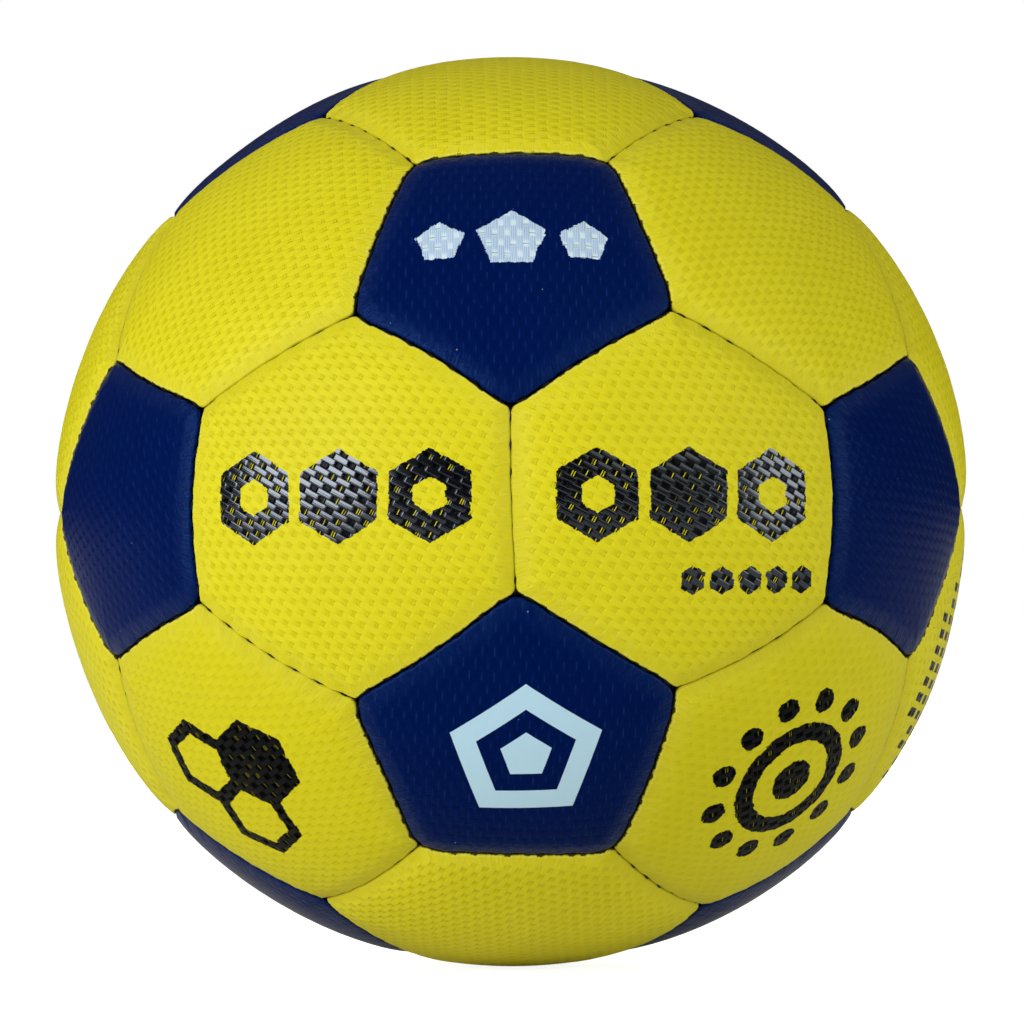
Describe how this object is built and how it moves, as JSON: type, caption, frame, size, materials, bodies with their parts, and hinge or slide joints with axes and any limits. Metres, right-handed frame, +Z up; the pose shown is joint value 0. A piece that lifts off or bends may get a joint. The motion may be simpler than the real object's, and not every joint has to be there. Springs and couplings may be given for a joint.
{
  "type": "handball",
  "caption": "Hand-stitched ball of five-sided and six-sided leather panels over a lining and a rubber bladder with a needle valve.",
  "frame": {"origin": "centre of the ball", "axes": "-Y towards the viewer of the picture, through the middle of an upright seam between two yellow panels; +Z up; the valve leans back from +Z towards +Y"},
  "size_m": [0.175, 0.175, 0.175],
  "materials": {
    "blue_cover": "satin",
    "yellow_cover": "satin",
    "lining_fabric": "matte",
    "bladder_rubber": "matte",
    "valve_rubber": "satin",
    "thread": "matte"
  },
  "bodies": {
    "root": {"pentagon_panel_01": "blue_cover", "pentagon_panel_02": "blue_cover", "pentagon_panel_03": "blue_cover", "pentagon_panel_04": "blue_cover", "pentagon_panel_05": "blue_cover", "pentagon_panel_06": "blue_cover", "pentagon_panel_07": "blue_cover", "pentagon_panel_08": "blue_cover", "pentagon_panel_09": "blue_cover", "pentagon_panel_10": "blue_cover", "pentagon_panel_11": "blue_cover", "pentagon_panel_12": "blue_cover", "hexagon_panel_01": "yellow_cover", "hexagon_panel_02": "yellow_cover", "hexagon_panel_03": "yellow_cover", "hexagon_panel_04": "yellow_cover", "hexagon_panel_05": "yellow_cover", "hexagon_panel_06": "yellow_cover", "hexagon_panel_07": "yellow_cover", "hexagon_panel_08": "yellow_cover", "hexagon_panel_09": "yellow_cover", "hexagon_panel_10": "yellow_cover", "hexagon_panel_11": "yellow_cover", "hexagon_panel_12": "yellow_cover", "hexagon_panel_13": "yellow_cover", "hexagon_panel_14": "yellow_cover", "hexagon_panel_15": "yellow_cover", "hexagon_panel_16": "yellow_cover", "hexagon_panel_17": "yellow_cover", "hexagon_panel_18": "yellow_cover", "hexagon_panel_19": "yellow_cover", "valve_panel": "yellow_cover", "pentagon_linings": "lining_fabric", "hexagon_linings": "lining_fabric", "valve_patch": "lining_fabric", "bladder": "bladder_rubber", "valve_housing": "valve_rubber", "valve_core": "valve_rubber", "stitching": "thread"}
  },
  "joints": []
}
